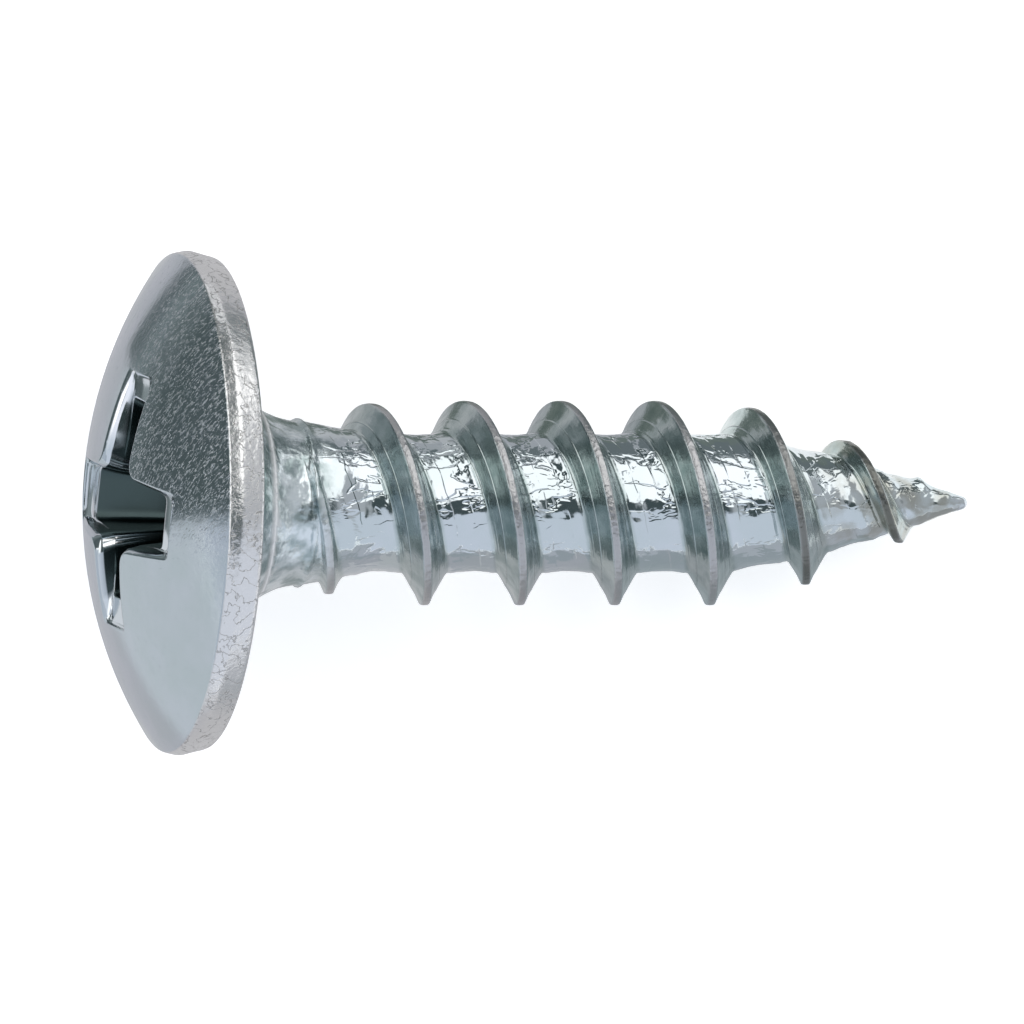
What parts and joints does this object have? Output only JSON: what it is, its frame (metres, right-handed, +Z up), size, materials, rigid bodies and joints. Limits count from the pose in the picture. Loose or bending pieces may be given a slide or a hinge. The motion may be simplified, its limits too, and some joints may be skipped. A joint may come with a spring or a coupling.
{
  "type": "truss head screw",
  "caption": "Zinc-plated self-tapping screw with a wide low-domed truss head, cross recess, coarse right-hand thread and gimlet point, lying on its side.",
  "frame": {"origin": "on the floor, under the middle of the lying screw's bounding box", "axes": "+Z up; the screw lies with its length in the XZ plane and its point towards +X, nose down by 15.1 degrees, resting on the edge of its rim and on a thread crest near the point"},
  "size_m": [0.0184, 0.0104, 0.0102],
  "materials": {
    "zinc_plated_steel": "bright zinc plating over steel, slightly blue, with handling marks"
  },
  "bodies": {
    "root": {"truss_head_screw": "zinc_plated_steel"}
  },
  "joints": []
}
